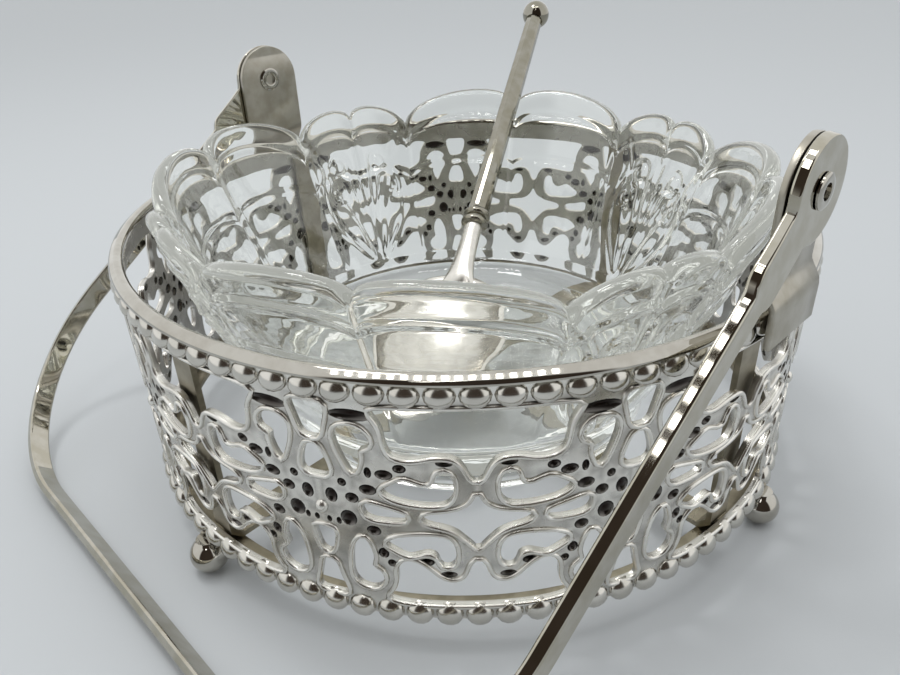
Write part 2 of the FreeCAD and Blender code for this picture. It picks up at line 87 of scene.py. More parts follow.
def make_piece(name, points, faces, body, finish, sharp=35.0, recess=None):
    """A smooth-shaded object from points in millimetres and lists of corners, riding on a body."""
    mesh = bpy.data.meshes.new(name)
    mesh.from_pydata((points.reshape(-1, 3) * MM).tolist(), [], faces)
    if recess is not None:
        layer = mesh.attributes.new("recess", "FLOAT", "POINT")
        layer.data.foreach_set("value", np.asarray(recess, dtype=np.float32))
    work = bmesh.new()
    work.from_mesh(mesh)
    bmesh.ops.remove_doubles(work, verts=work.verts, dist=merge_distance)
    bmesh.ops.recalc_face_normals(work, faces=work.faces)
    work.to_mesh(mesh)
    work.free()
    mesh.polygons.foreach_set("use_smooth", np.ones(len(mesh.polygons), dtype=bool))
    mesh.set_sharp_from_angle(angle=radians(sharp))
    mesh.materials.append(finish)
    piece = bpy.data.objects.new(name, mesh)
    scene.collection.objects.link(piece)
    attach(piece, body)
    print(name, len(mesh.polygons), "faces")
    return piece


def joined(parts):
    """Several (points, faces) pairs as one pair."""
    points, faces, start = [], [], 0
    for some_points, some_faces in parts:
        points.append(some_points.reshape(-1, 3))
        faces += [[c + start for c in face] for face in some_faces]
        start += len(points[-1])
    return np.concatenate(points), faces


# %% [markdown]
# Most pieces here were turned or drawn: a profile goes once round an axis, or one section is carried
# along a bent line. Both give such a grid, so two functions and a rounded rectangle are enough for them.

# %% Turned and drawn shapes


def revolved(profile, count):
    """A closed surface of revolution about Z: the profile is radius and height, and turns once round."""
    radius, height = np.array(profile, dtype=float).T[:, None, :]
    angle = np.linspace(0, 2 * pi, count, endpoint=False)[:, None]
    points = np.stack([radius * np.cos(angle), radius * np.sin(angle), height + 0 * angle], axis=-1)
    return points, grid_faces(count, len(profile), True, False)


def swept(path, side, lift, section):
    """A section carried along a path: each point is path + section x times side + section y times lift.

    The section is one closed outline, or one for each point of the path.
    """
    section = np.broadcast_to(section, (len(path),) + np.asarray(section).shape[-2:])
    return path[:, None, :] + section[..., :1] * side[:, None, :] + section[..., 1:] * lift[:, None, :]


def capped(points, close_rows=False):
    """Faces of a swept tube, with a flat face on each end unless it closes on itself."""
    rows, columns = points.shape[:2]
    faces = grid_faces(rows, columns, close_rows, True)
    if not close_rows:
        faces += [list(range(columns)), [(rows - 1) * columns + c for c in reversed(range(columns))]]
    return faces


def rounded_box(half_wide, half_thick, radius, steps=3, flat=0.0):
    """The outline of a rectangle with rounded corners, as points.

    With a flat length, one more point stands beside each end of a corner, so that smooth shading keeps
    the sides flat. On a very thin section that length shrinks with the shorter side.
    """
    angle = np.linspace(0, pi / 2, steps)
    reach = min(flat, 0.4 * (min(half_wide, half_thick) - radius))
    out = []
    for quarter, (sx, sy) in enumerate(((1, 1), (-1, 1), (-1, -1), (1, -1))):
        turn = angle + quarter * pi / 2
        centre = np.array([sx * (half_wide - radius), sy * (half_thick - radius)])
        arc = centre + radius * np.stack([np.cos(turn), np.sin(turn)], axis=1)
        if flat > 0:
            before = arc[:1] + reach * np.array([[sin(turn[0]), -cos(turn[0])]])
            after = arc[-1:] + reach * np.array([[-sin(turn[-1]), cos(turn[-1])]])
            arc = np.concatenate([before, arc, after])
        out.append(arc)
    return np.concatenate(out)


# %% [markdown]
# The camera was fitted to the photograph: the rim and bead rows give circles at known heights, and the
# feet and the ears fix the rest. It stands about 14 cm from the basket and looks down at 30 degrees.

# %% Camera
camera_data = bpy.data.cameras.new("photo_camera")
camera_data.sensor_width = 36.0
camera_data.lens = 29.38
camera_data.clip_start = 0.005
camera_data.clip_end = 20.0
camera = bpy.data.objects.new("photo_camera", camera_data)
camera_place_mm = Vector((79.66, -80.31, 80.84))
right = Vector((0.7074, 0.7059, -0.0349)).normalized()
look = Vector((-0.6242, 0.6008, -0.4993)).normalized()
up = right.cross(look).normalized()
turn = Matrix((right, up, -look)).transposed().to_4x4()
camera.matrix_world = Matrix.Translation(camera_place_mm * MM) @ turn
scene.collection.objects.link(camera)
scene.camera = camera
print("camera", round(camera_place_mm.length), "mm from the middle of the basket's foot")

# %% [markdown]
# A colour is written as the hex value one would pick from the photograph, which is sRGB. The shaders
# work in linear light, so one function turns it. Another adds a shader node with its settings and links.

# %% Colour and shader helpers


def linear(hex_colour, alpha=1.0):
    """An sRGB hex colour as linear light: each channel c becomes ((c + 0.055) / 1.055) to the 2.4."""
    channels = [int(hex_colour[k:k + 2], 16) / 255 for k in (1, 3, 5)]
    return [c / 12.92 if c <= 0.04045 else ((c + 0.055) / 1.055) ** 2.4 for c in channels] + [alpha]


def add_node(tree, kind, settings=None, links=None, stops=()):
    """A shader node of a kind. Settings are its own properties or input values, links are outputs.

    A colour ramp also takes two stops, each a place and a colour.
    """
    node = tree.nodes.new(kind)
    for key, value in (settings or {}).items():
        if isinstance(key, str) and hasattr(node, key):
            setattr(node, key, value)
        else:
            node.inputs[key].default_value = value
    for key, output in (links or {}).items():
        tree.links.new(output, node.inputs[key])
    for number, (place, colour) in enumerate(stops):
        element = node.color_ramp.elements[number]
        element.position, element.color = place, colour
    return node


def grey(value):
    """A grey of one linear value, for ramps that drive a number."""
    return (value, value, value, 1.0)


def new_finish(name):
    """An empty material with its Principled shader and Object coordinates in millimetres."""
    finish = bpy.data.materials.new(name)
    finish.use_nodes = True
    tree = finish.node_tree
    shader = tree.nodes["Principled BSDF"]
    place = add_node(tree, "ShaderNodeTexCoord")
    scaled = add_node(tree, "ShaderNodeMapping", {"Scale": (1000, 1000, 1000)},
                      {"Vector": place.outputs["Object"]})
    return finish, tree, shader, scaled.outputs["Vector"]


# %% [markdown]
# Bright nickel plate on stamped brass: electroplated, then buffed. Nickel is a warm light grey, and the
# buffing leaves it nearly a mirror, so most of what one sees is the room: the pale paper below and the
# darker room above. Handling dulls it in patches a centimetre or so across and leaves hairlines, which
# are drawn coarser than they are, so that they show. Where the stamp goes deep, the colour is painted
# darker, up to nearly black: painted shade in the grooves and on the back, and nearly black pits.

# %% Bright nickel plate
patch_scale, cloud_scale, hair_scale = 0.12, 0.35, 1.1  # per mm: about 8, 3 and 1 mm across
hair_depth = 0.02 * MM


def nickel_plate(name, colour, dark, rough_low, rough_high, painted_darkening, hairline=0.04):
    """Nickel plate: noise patches for the roughness, hairlines for the bump, recesses painted darker."""
    finish, tree, shader, place = new_finish(name)
    patches = add_node(tree, "ShaderNodeTexNoise", {"Scale": patch_scale, "Detail": 4.0},
                       {"Vector": place})
    dulling_and_painted_shade = add_node(tree, "ShaderNodeValToRGB", {}, {"Fac": patches.outputs["Fac"]},
                      ((0.35, grey(rough_low)), (0.7, grey(rough_high))))
    tree.links.new(dulling_and_painted_shade.outputs["Color"], shader.inputs["Roughness"])
    clouds = add_node(tree, "ShaderNodeTexNoise", {"Scale": cloud_scale, "Detail": 5.0},
                      {"Vector": place})
    worn = add_node(tree, "ShaderNodeValToRGB", {}, {"Fac": clouds.outputs["Fac"]},
                    ((0.38, linear(dark)), (0.62, linear(colour))))
    # The recess value paints the colour toward nearly black: painted shade in grooves and on the back,
    # and pits painted nearly black.
    recess = add_node(tree, "ShaderNodeAttribute", {"attribute_name": "recess"})
    depth = add_node(tree, "ShaderNodeMath", {"operation": "MULTIPLY", 1: painted_darkening},
                     {0: recess.outputs["Fac"]})
    tone = add_node(tree, "ShaderNodeMix", {"data_type": "RGBA", 7: linear("#1a100d")},
                    {0: depth.outputs["Value"], 6: worn.outputs["Color"]})
    tree.links.new(tone.outputs[2], shader.inputs["Base Color"])
    stretch = add_node(tree, "ShaderNodeMapping",
                       {"Scale": (0.6, 0.6, 9.0), "Rotation": (0.3, 0.2, 0.5)}, {"Vector": place})
    lines = add_node(tree, "ShaderNodeTexNoise", {"Scale": hair_scale, "Detail": 5.0},
                     {"Vector": stretch.outputs["Vector"]})
    bump = add_node(tree, "ShaderNodeBump", {"Strength": hairline, "Distance": hair_depth},
                    {"Height": lines.outputs["Fac"]})
    tree.links.new(bump.outputs["Normal"], shader.inputs["Normal"])
    shader.inputs["Metallic"].default_value = 1.0
    return finish


gallery_plate = nickel_plate("nickel_plate_stamped", "#e6e4de", "#d8d5ce", 0.22, 0.32, 1.0)
bead_plate = nickel_plate("nickel_plate_beads", "#d2cfc8", "#c5c2ba", 0.17, 0.22, 1.0, 0.01)
wire_plate = nickel_plate("nickel_plate_buffed_wire", "#b9b6ae", "#aeaaa1", 0.03, 0.05, 0.8, 0.0)
bail_plate = nickel_plate("nickel_plate_handled_strip", "#b9b5aa", "#aca798", 0.02, 0.045, 0.8, 0.0)
ear_plate = nickel_plate("nickel_plate_satin", "#b0aca2", "#a19c8f", 0.28, 0.38, 0.8, 0.10)
spoon_plate = nickel_plate("nickel_plate_polished", "#98958b", "#8c887a", 0.06, 0.11, 0.8, 0.01)
bowl_plate = nickel_plate("nickel_plate_worn_satin", "#dad7d0", "#cdcac3", 0.2, 0.3, 0.8, 0.02)
# This plate is painted darker and olive brown: a painted reflection of the dark inside of the basket,
# used on the foot ring and the straps.
inside_plate = nickel_plate("nickel_plate_painted_dark_reflection", "#968f7e", "#7f7867", 0.26, 0.4, 0.6, 0.10)
print("finishes:", ", ".join(m.name for m in bpy.data.materials if "plate" in m.name))

# %% [markdown]
# Clear pressed glass: soda-lime, pressed hot into an iron mould and fire polished. It refracts at 1.52,
# and its thick wall carries a trace of green and yellow from the iron in the sand. The mould leaves the
# surface a little wavy, which makes the straight lines behind it wobble.

# %% Pressed glass
wave_scale, wave_depth = 0.16, 0.4 * MM  # per mm: waves about 6 mm long
painted_glow_strength, passed_softly = 0.42, 0.88
pressed_glass, tree, shader, place = new_finish("pressed_soda_lime_glass")
shader.inputs["Base Color"].default_value = linear("#fcfdfa")
shader.inputs["Transmission Weight"].default_value = 1.0
shader.inputs["Roughness"].default_value = 0.0
shader.inputs["IOR"].default_value = 1.52
waves = add_node(tree, "ShaderNodeTexNoise", {"Scale": wave_scale, "Detail": 2.0}, {"Vector": place})
mould = add_node(tree, "ShaderNodeBump", {"Strength": 0.25, "Distance": wave_depth},
                 {"Height": waves.outputs["Fac"]})
tree.links.new(mould.outputs["Normal"], shader.inputs["Normal"])

# Light that has been turned back inside the glass three times is on its way round the rim. In the
# tent it would come out white in the end, so the glass glows with that light itself at the third turn: a
# painted glow, as the glass is no lamp.
paths = add_node(tree, "ShaderNodeLightPath")
third = add_node(tree, "ShaderNodeMath", {"operation": "COMPARE", 1: 3.0, 2: 0.5},
                 {0: paths.outputs["Glossy Depth"]})
glass_glow = add_node(tree, "ShaderNodeMath", {"operation": "MULTIPLY", 1: painted_glow_strength},
                  {0: third.outputs["Value"]})
tree.links.new(glass_glow.outputs["Value"], shader.inputs["Emission Strength"])
shader.inputs["Emission Color"].default_value = linear("#f3f6ee")

# Soft light and shadows pass the clear wall nearly whole, so the table under the dish stays bright.
soft = add_node(tree, "ShaderNodeMath", {"operation": "MAXIMUM"},
                {0: paths.outputs["Is Diffuse Ray"], 1: paths.outputs["Is Shadow Ray"]})
clear = add_node(tree, "ShaderNodeMath", {"operation": "MULTIPLY_ADD", 1: -passed_softly, 2: 1.0},
                 {0: soft.outputs["Value"]})
tree.links.new(clear.outputs["Value"], shader.inputs["Alpha"])
print("glass with an IOR of", round(shader.inputs["IOR"].default_value, 2))

# %% [markdown]
# The filigree motif repeats nine times, and each repeat is its own mirror image. So the holes are drawn
# once, for half a motif: across from the motif's middle, and up or down from a line 22 mm above the
# table. Each hole is a run of measured corners. Cutting the corners of such a run again and again, a
# quarter from each end of each side, gives the smooth curve that the die had.

# %% Holes of half a motif
wall_outer, wall_inner, pitch_radius = 52.3, 51.6, 52.0
motif_level = 22.0
motif_count = 9
half_cell = pi * pitch_radius / motif_count
motif_azimuths = [-24.26 + cell * 360 / motif_count for cell in range(motif_count)]

petal_up = [(2.6, 11.5), (3.6, 12.6), (5.6, 12.7), (6.9, 11.2), (6.7, 9.9), (5.3, 9.5), (5.6, 8.6),
            (5.2, 7.0), (4.4, 5.6), (3.5, 7.6), (2.8, 9.6)]
petal_down = [(3.0, -8.0), (2.9, -10.2), (3.8, -11.6), (5.7, -11.8), (6.9, -10.5), (6.9, -8.8),
              (5.4, -7.8), (6.0, -6.6), (5.7, -4.8), (4.9, -3.1), (3.8, -4.2), (3.2, -6.0)]
side_hook = [(7.2, 4.1), (8.4, 2.9), (10.4, 2.4), (12.8, 2.2), (14.7, 2.4), (15.6, 3.6), (15.7, 6.0),
             (15.0, 7.2), (13.8, 7.1), (13.5, 5.4), (12.4, 4.9), (11.2, 5.4), (10.0, 5.9), (8.6, 5.0)]
waist = [(5.0, 2.1), (6.6, 1.9), (9.4, 1.1), (10.3, 0.8), (10.3, -0.2), (9.2, -0.5), (5.2, -0.5)]
full_holes = [petal_up, petal_down, side_hook, [(a, -r) for a, r in side_hook], waist]

# Half outlines of the holes on the motif's own middle line, from the line and back to it
crotch_up = [(0, 9.6), (0.9, 9.3), (1.9, 6.2), (1.5, 5.1), (0, 5.0)]
cleft_up = [(0, 15.2), (2.4, 15.2), (1.6, 12.2), (1.1, 10.4), (0, 10.3)]
crotch_down = [(0, -2.7), (1.3, -2.8), (1.4, -4.0), (0.8, -6.6), (0, -7.0)]
cleft_down = [(0, -7.9), (0.9, -8.1), (1.5, -11.0), (2.3, -13.7), (0, -13.7)]
middle_holes = [crotch_up, cleft_up, crotch_down, cleft_down]

# The same on the line between two motifs, measured from that line
star = [(0, 4.3), (0.45, 3.2), (1.0, 2.3), (2.7, 1.4), (6.3, 1.0), (6.3, -0.4), (2.8, -1.2),
        (1.2, -2.9), (0.45, -3.8), (0, -4.5)]
field_up = [(0, 15.2), (11.6, 15.2), (10.6, 13.8), (9.9, 12.4), (9.8, 10.6), (9.3, 9.0), (7.8, 8.5),
            (6.2, 8.7), (5.0, 9.1), (3.2, 9.2), (1.9, 8.7), (1.1, 7.4), (0.7, 6.2), (0, 5.6)]
field_down = [(0, -5.8), (0.8, -6.6), (1.2, -8.2), (1.9, -9.3), (3.2, -9.7), (4.5, -9.1),
              (5.7, -7.7), (7.2, -6.4), (8.7, -6.3), (9.6, -7.8), (9.5, -10.0), (10.1, -11.7),
              (11.6, -13.7), (0, -13.7)]
between_holes = [star, field_up, field_down]

# Punched pits: across, height, half width and half height. The one on the middle line is a raised boss.
pits = [(0.0, 0.2, 0.75, 0.85), (1.5, 2.3, 0.7, 1.0), (4.0, 2.4, 0.75, 0.7), (6.0, 3.9, 0.95, 0.7),
        (8.0, 6.3, 0.95, 0.65), (9.8, 7.3, 0.7, 0.55), (3.0, 4.5, 0.5, 0.55), (6.2, 6.4, 0.4, 0.7),
        (3.3, -0.8, 0.95, 1.1), (2.0, -1.5, 0.3, 0.5), (0.8, -1.5, 0.3, 0.45), (6.2, -2.2, 0.8, 0.7),
        (7.1, -5.6, 0.6, 0.75), (8.0, -7.1, 0.5, 0.55), (12.2, -6.5, 0.8, 0.55), (4.9, 13.95, 2.2, 0.72),
        (14.7, -8.4, 0.9, 0.45), (14.7, 8.3, 0.9, 0.45)]
pit_growth = 1.1  # from the dark bottom, which was measured, to the pit's edge
print(len(full_holes + middle_holes + between_holes), "holes and", len(pits), "punch marks")


# %% Smooth outlines from corners


def smooth_closed(corners, rounds=3):
    """Corner cutting on a closed run: each side is replaced by its points at one and three quarters."""
    run = np.asarray(corners, dtype=float)
    for _ in range(rounds):
        after = np.roll(run, -1, axis=0)
        run = np.stack([0.75 * run + 0.25 * after, 0.25 * run + 0.75 * after], axis=1).reshape(-1, 2)
    return run


def whole(half):
    """A half outline and its mirror image in the line it starts on, as one closed run."""
    half = np.asarray(half, dtype=float)
    inner = half[half[:, 0] > 0]
    return np.concatenate([half, (inner * (-1, 1))[::-1]])


def evenly(run, spacing):
    """A closed run resampled at an even spacing along its length."""
    ring = np.concatenate([run, run[:1]])
    along = np.concatenate([[0], np.cumsum(np.hypot(*np.diff(ring, axis=0).T))])
    stops = np.linspace(0, along[-1], max(12, int(along[-1] / spacing)) + 1)[:-1]
    return np.stack([np.interp(stops, along, ring[:, k]) for k in (0, 1)], axis=1)


def half_of(run):
    """The points of a mirrored closed run with across above zero, from one crossing to the other."""
    after = np.roll(run, -1, axis=0)
    cross = np.nonzero((run[:, 0] <= 0) & (after[:, 0] > 0))[0][0]
    run = np.roll(run, -(cross + 1), axis=0)
    keep = run[:np.nonzero(run[:, 0] <= 0)[0][0]]
    return np.concatenate([[(0, keep[0, 1])], keep, [(0, keep[-1, 1])]])


# %% [markdown]
# The strip itself is a flat sheet with those holes, rolled into a ring. Triangles are laid between the
# outlines, with loose points a millimetre apart in between, so that the sheet can bend. The pattern is
# then copied eighteen times round, each second time as its mirror image, given a back and an edge, and
# rolled: the distance along the strip becomes an angle.

# %% Tools for laying out


def side_line(holes, sign, edge):
    """The holes on one side line, as the run of that side from the bottom to the top."""
    runs = []
    for hole in holes:
        half = half_of(evenly(smooth_closed(whole(hole)), 0.45))
        if half[0, 1] > half[-1, 1]:
            half = half[::-1]
        runs.append(np.stack([edge + sign * half[:, 0], half[:, 1]], axis=1))
    return np.concatenate(sorted(runs, key=lambda run: run[0, 1]))


def inside(points, run):
    """Even-odd test for many points: count the sides of a closed run that a ray to the right crosses."""
    a, b = run, np.roll(run, -1, axis=0)
    x, y = points[:, :1], points[:, 1:]
    spans = (a[:, 1] > y) != (b[:, 1] > y)
    with np.errstate(divide="ignore", invalid="ignore"):
        cross = a[:, 0] + (y - a[:, 1]) * (b[:, 0] - a[:, 0]) / (b[:, 1] - a[:, 1])
    return (spans & (x < cross)).sum(axis=1) % 2 == 1


# %% Lay out half a motif
bead_pitch = half_cell / 5
bead_radius = 1.6
bead_level_up, bead_level_down = 17.0, -15.1
strip_top, strip_foot = 40.55 - motif_level, bead_level_down - 0.95
loose_step, loose_gap = 0.95, 0.4

across = np.linspace(0, half_cell, 61)
offset = (across + bead_pitch / 2) % bead_pitch - bead_pitch / 2
scallop = bead_level_down - np.sqrt(np.maximum(0, bead_radius ** 2 - offset ** 2))
bottom_run = np.stack([across, np.minimum(scallop, strip_foot)], axis=1)
top_run = np.stack([across[::-1], np.full(61, strip_top)], axis=1)
right_run = side_line(between_holes, -1, half_cell)
left_run = side_line(middle_holes, 1, 0.0)[::-1]
outer_run = np.concatenate([bottom_run, right_run, top_run, left_run])
hole_runs = [evenly(smooth_closed(hole), 0.42) for hole in full_holes]
ring = np.linspace(0, 2 * pi, 14, endpoint=False)
pit_runs = [np.stack([a + pit_growth * w * np.cos(ring), h + pit_growth * t * np.sin(ring)], axis=1)
            for a, h, w, t in pits if a > 0]
runs = [outer_run] + hole_runs + pit_runs
edge_points = np.concatenate(runs)


def to_edges(some):
    """The distance from each of some flat points to the nearest point of the outlines."""
    return np.hypot(*(some[:, None, :] - edge_points[None]).transpose(2, 0, 1)).min(axis=1)


loose = np.stack(np.meshgrid(np.arange(0.5, half_cell, loose_step),
                             np.arange(-15.6, 17.4, loose_step)), axis=-1).reshape(-1, 2)
loose = loose[to_edges(loose) > loose_gap]
flat_points = np.concatenate([edge_points, loose])
edges, start = [], 0
for run in runs:
    number = np.arange(len(run))
    edges += np.stack([start + number, start + (number + 1) % len(run)], axis=1).tolist()
    start += len(run)
laid = delaunay_2d_cdt([Vector(p) for p in flat_points.tolist()], edges, [], 0, 1e-5)
half_points = np.array([tuple(p) for p in laid[0]])
half_faces = np.array([list(f) for f in laid[2]])
middle = half_points[half_faces].mean(axis=1)
solid = inside(middle, outer_run)
for run in hole_runs + pit_runs:
    solid &= ~inside(middle, run)
half_faces = half_faces[solid]
print("half a motif:", len(half_points), "points,", len(half_faces), "triangles")

# %% Roll the gallery


def rolled(flat, radius, azimuth):
    """Points of the flat strip on the wall: across becomes an angle from an azimuth in degrees."""
    angle = radians(azimuth) + flat[..., 0] / pitch_radius
    level = flat[..., 1] + motif_level
    return np.stack([radius * np.cos(angle), radius * np.sin(angle), level], axis=-1)


def edge_quads(faces, count):
    """The sides that belong to one triangle only, as quads between the front and the back points."""
    sides = np.concatenate([faces[:, [0, 1]], faces[:, [1, 2]], faces[:, [2, 0]]])
    keys = np.sort(sides, axis=1)
    _, index, uses = np.unique(keys, axis=0, return_index=True, return_counts=True)
    open_sides = sides[index[uses == 1]]
    return np.stack([open_sides[:, 1], open_sides[:, 0], open_sides[:, 0] + count,
                     open_sides[:, 1] + count], axis=1)


def on_seam(quads, flat):
    """Quads that lie on a line where two halves meet, and so must not be there."""
    across_both = flat[quads[:, :2], 0]
    near_left, near_right = np.abs(across_both) < 1e-4, np.abs(across_both - half_cell) < 1e-4
    return near_left.all(axis=1) | near_right.all(axis=1)


used, renumber = np.unique(half_faces, return_inverse=True)
half_points = half_points[used]
half_faces = renumber.reshape(-1, 3)
count = len(half_points)
quads = edge_quads(half_faces, count)
quads = quads[~on_seam(quads, half_points)]
parts = []
for azimuth in motif_azimuths:
    for sign in (1, -1):
        flat = half_points * (sign, 1)
        front = rolled(flat, wall_outer, azimuth)
        back = rolled(flat, wall_inner, azimuth)
        order = slice(None, None, sign)
        faces = half_faces[:, order].tolist() + (half_faces[:, ::-1][:, order] + count).tolist()
        parts.append((np.concatenate([front, back]), faces + quads[:, order].tolist()))
points, faces = joined(parts)

# Painted shade lies in the groove beside each lip, 0.7 mm from the edge, and all over the back
groove = 0.38 * np.exp(-((to_edges(half_points) - 0.7) / 0.45) ** 2)
dulling_and_painted_shade = np.tile(np.concatenate([groove, np.full(count, 0.4)]), len(parts))
gallery_sheet = make_piece("gallery_sheet", points, faces, "basket", gallery_plate, recess=dulling_and_painted_shade)
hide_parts("gallery_band")

# %% [markdown]
# The die raised a round lip along each hole, so every ribbon of the filigree shows two bright edges
# with a groove between. A lip is an oval section carried round the hole's outline. Small pits were
# punched round the boss, and their colour is painted nearly black, darkest at the bottom.

# %% Lips round the holes
lip_half_wide, lip_half_high = 0.33, 0.36
lip_turn = np.linspace(0, 2 * pi, 7, endpoint=False)
lip_section = np.stack([lip_half_wide * np.cos(lip_turn), lip_half_high * np.sin(lip_turn)], axis=1)
motif_runs = []
for sign in (1, -1):
    motif_runs += [evenly(smooth_closed(hole), 0.62) * (sign, 1) for hole in full_holes]
motif_runs += [evenly(smooth_closed(whole(hole)), 0.62) for hole in middle_holes]
for hole in between_holes:
    motif_runs.append(evenly(smooth_closed(whole(hole)), 0.62) + (half_cell, 0))


def lip(run, azimuth):
    """One lip: the oval stands on the wall, half its width outside the hole's edge."""
    ahead = np.roll(run, -1, axis=0) - np.roll(run, 1, axis=0)
    ahead /= np.hypot(*ahead.T)[:, None]
    turning = np.sign(np.sum(run[:, 0] * np.roll(run[:, 1], -1) - np.roll(run[:, 0], -1) * run[:, 1]))
    outward = np.stack([ahead[:, 1], -ahead[:, 0]], axis=1) * turning
    centre = run + outward * lip_half_wide * 0.8
    path = rolled(centre, wall_outer, azimuth)
    angle = radians(azimuth) + centre[:, 0] / pitch_radius
    radial = np.stack([np.cos(angle), np.sin(angle), 0 * angle], axis=1)
    around = np.stack([-np.sin(angle), np.cos(angle), 0 * angle], axis=1)
    side = around * outward[:, :1] + np.array([0, 0, 1.0]) * outward[:, 1:]
    points = swept(path, side, radial, lip_section)
    return points, grid_faces(len(run), len(lip_section), True, True)


points, faces = joined([lip(run, azimuth) for azimuth in motif_azimuths for run in motif_runs])
gallery_lips = make_piece("gallery_lips", points, faces, "basket", gallery_plate, 80)
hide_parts("gallery_band")

# %% Punched pits


def bowl_of(radius, depth, sides, steps, closed):
    """A round bowl or dome about the X axis: the depth follows a quarter circle from rim to pole."""
    angle = np.linspace(0, 2 * pi, sides, endpoint=False)[:, None]
    climb = np.linspace(0, pi / 2, steps)[None, :]
    out = radius * np.cos(climb)
    points = np.stack([depth * np.sin(climb) + 0 * angle, out * np.cos(angle), out * np.sin(angle)], -1)
    faces = grid_faces(sides, steps, True, False)
    if closed:
        faces.append([k * steps for k in reversed(range(sides))])
    return points.reshape(-1, 3), faces, np.repeat(np.sin(climb), sides, axis=0).ravel()


def placed(points, radius, azimuth, level):
    """A small form on the X axis moved out to a radius, turned to an azimuth and lifted."""
    angle = radians(azimuth)
    x, y, z = points[:, 0] + radius, points[:, 1], points[:, 2] + level
    return np.stack([x * cos(angle) - y * sin(angle), x * sin(angle) + y * cos(angle), z], axis=1)


pit_depth, boss_height = -0.5, 0.6
parts, painted_darkening = [], []
for middle_azimuth in motif_azimuths:
    for a, h, half_wide, half_high in pits:
        form, corners, share = bowl_of(1.0, pit_depth if a > 0 else boss_height, 14, 4, False)
        form = form * (1, pit_growth * half_wide, pit_growth * half_high)
        for sign in ((1, -1) if a > 0 else (1,)):
            azimuth = middle_azimuth + degrees(sign * a / pitch_radius)
            parts.append((placed(form, wall_outer, azimuth, h + motif_level), corners))
            # Pits are painted nearly black, darkest at the bottom; the raised boss is not darkened.
            painted_darkening.append((0.75 + 0.25 * share) * (a > 0))
points, faces = joined(parts)
gallery_pits = make_piece("gallery_pits", points, faces, "basket", gallery_plate, 80,
                          np.concatenate(painted_darkening))
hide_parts("gallery_band")

# %% [markdown]
# Both edges carry a row of beads, ten to a motif. A bead is a low dome that leans up a little. The upper
# ones are a little flatter in height, and those behind an ear were pressed in when it was soldered on.

# %% Bead rows
bead_step, first_bead = 4, -44.26
bead_form, bead_faces, _ = bowl_of(1.66, 1.0, 14, 5, True)
lean = radians(12)
bead_form = np.stack([bead_form[:, 0] * cos(lean) - bead_form[:, 2] * sin(lean), bead_form[:, 1],
                      bead_form[:, 0] * sin(lean) + bead_form[:, 2] * cos(lean)], axis=1)
parts = []
for azimuth in (first_bead + bead_step * number for number in range(360 // bead_step)):
    under_ear = abs((azimuth + 90) % 180 - 90) < 8.5
    for level in (bead_level_up, bead_level_down):
        flatter = 0.7 if under_ear and level > 0 else 1.0
        form = bead_form * (flatter, 1.06, 0.87 if level > 0 else 1.0)
        parts.append((placed(form, wall_outer - 0.03, azimuth, level + motif_level), bead_faces))
points, faces = joined(parts)
gallery_beads = make_piece("gallery_beads", points, faces, "basket", bead_plate, 50)
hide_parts("gallery_band")

# %% [markdown]
# A half-round wire is soldered on the gallery's upper edge, and a flat ring sits inside its foot. Both
# are a profile turned once round. The wire's flat side is down. Buffing gave it a narrow flat shoulder
# outside, at 30 degrees, which mirrors lamps above the basket as a row of sharp dashes.

# %% Rim wire and base ring
crown = np.array([(1.02, 0.85), (1.02, 1.0), (0.95, 1.2), (0.84, 1.35), (0.68, 1.485), (0.65, 1.502),
                  (0.19, 1.768), (0.16, 1.785), (-0.1, 1.86), (-0.4, 1.82), (-0.68, 1.66),
                  (-0.9, 1.42), (-1.02, 1.15), (-1.04, 0.85), (1.02, 0.85)])
points, faces = revolved(crown + (pitch_radius, 39.6), 240)
rim_wire = make_piece("rim_wire", points, faces, "basket", wire_plate)
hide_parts("top_rim")

ring_profile = rounded_box(1.12, 0.49, 0.2) + (50.45, 6.2)
points, faces = revolved(np.concatenate([ring_profile, ring_profile[:1]]), 180)
# The foot ring's olive-brown plate is a painted reflection of the dark inside.
foot_ring = make_piece("foot_ring", points, faces, "basket", inside_plate)
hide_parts("base_ring")

# %% [markdown]
# Four cast balls carry the basket. Each is a ball with a worn flat below and a short solder neck above.

# %% Ball feet
ball_radius, ball_level, feet_circle = 2.75, 2.72, 52.9
ball_profile = [(0, 0.02)]
ball_profile += [(ball_radius * cos(t), ball_level + ball_radius * sin(t))
                 for t in np.linspace(-1.388, 1.119, 16)]
ball_profile += [(1.15, 5.3), (1.25, 5.45), (1.4, 5.6), (0, 5.6)]
ball, ball_faces = revolved(ball_profile, 32)
feet = []
for azimuth in (radians(a) for a in (-90.26, 9.74, 89.74, 189.74)):
    feet.append((ball + (feet_circle * cos(azimuth), feet_circle * sin(azimuth), 0), ball_faces))
points, faces = joined(feet)
foot_balls = make_piece("foot_balls", points, faces, "basket", wire_plate)
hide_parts("ball_feet")

# %% [markdown]
# The ears are tabs cut from the same sheet, soldered outside the rim and joggled inward, so that the
# eye stands over the wall. A tab is a function of two parameters: along its bent middle line, and
# across it, where the half width shrinks as the root of a circle over the eye.

# %% Ears
eye_radius = 6.0
ear_thick, ear_edge = 0.43, 0.18


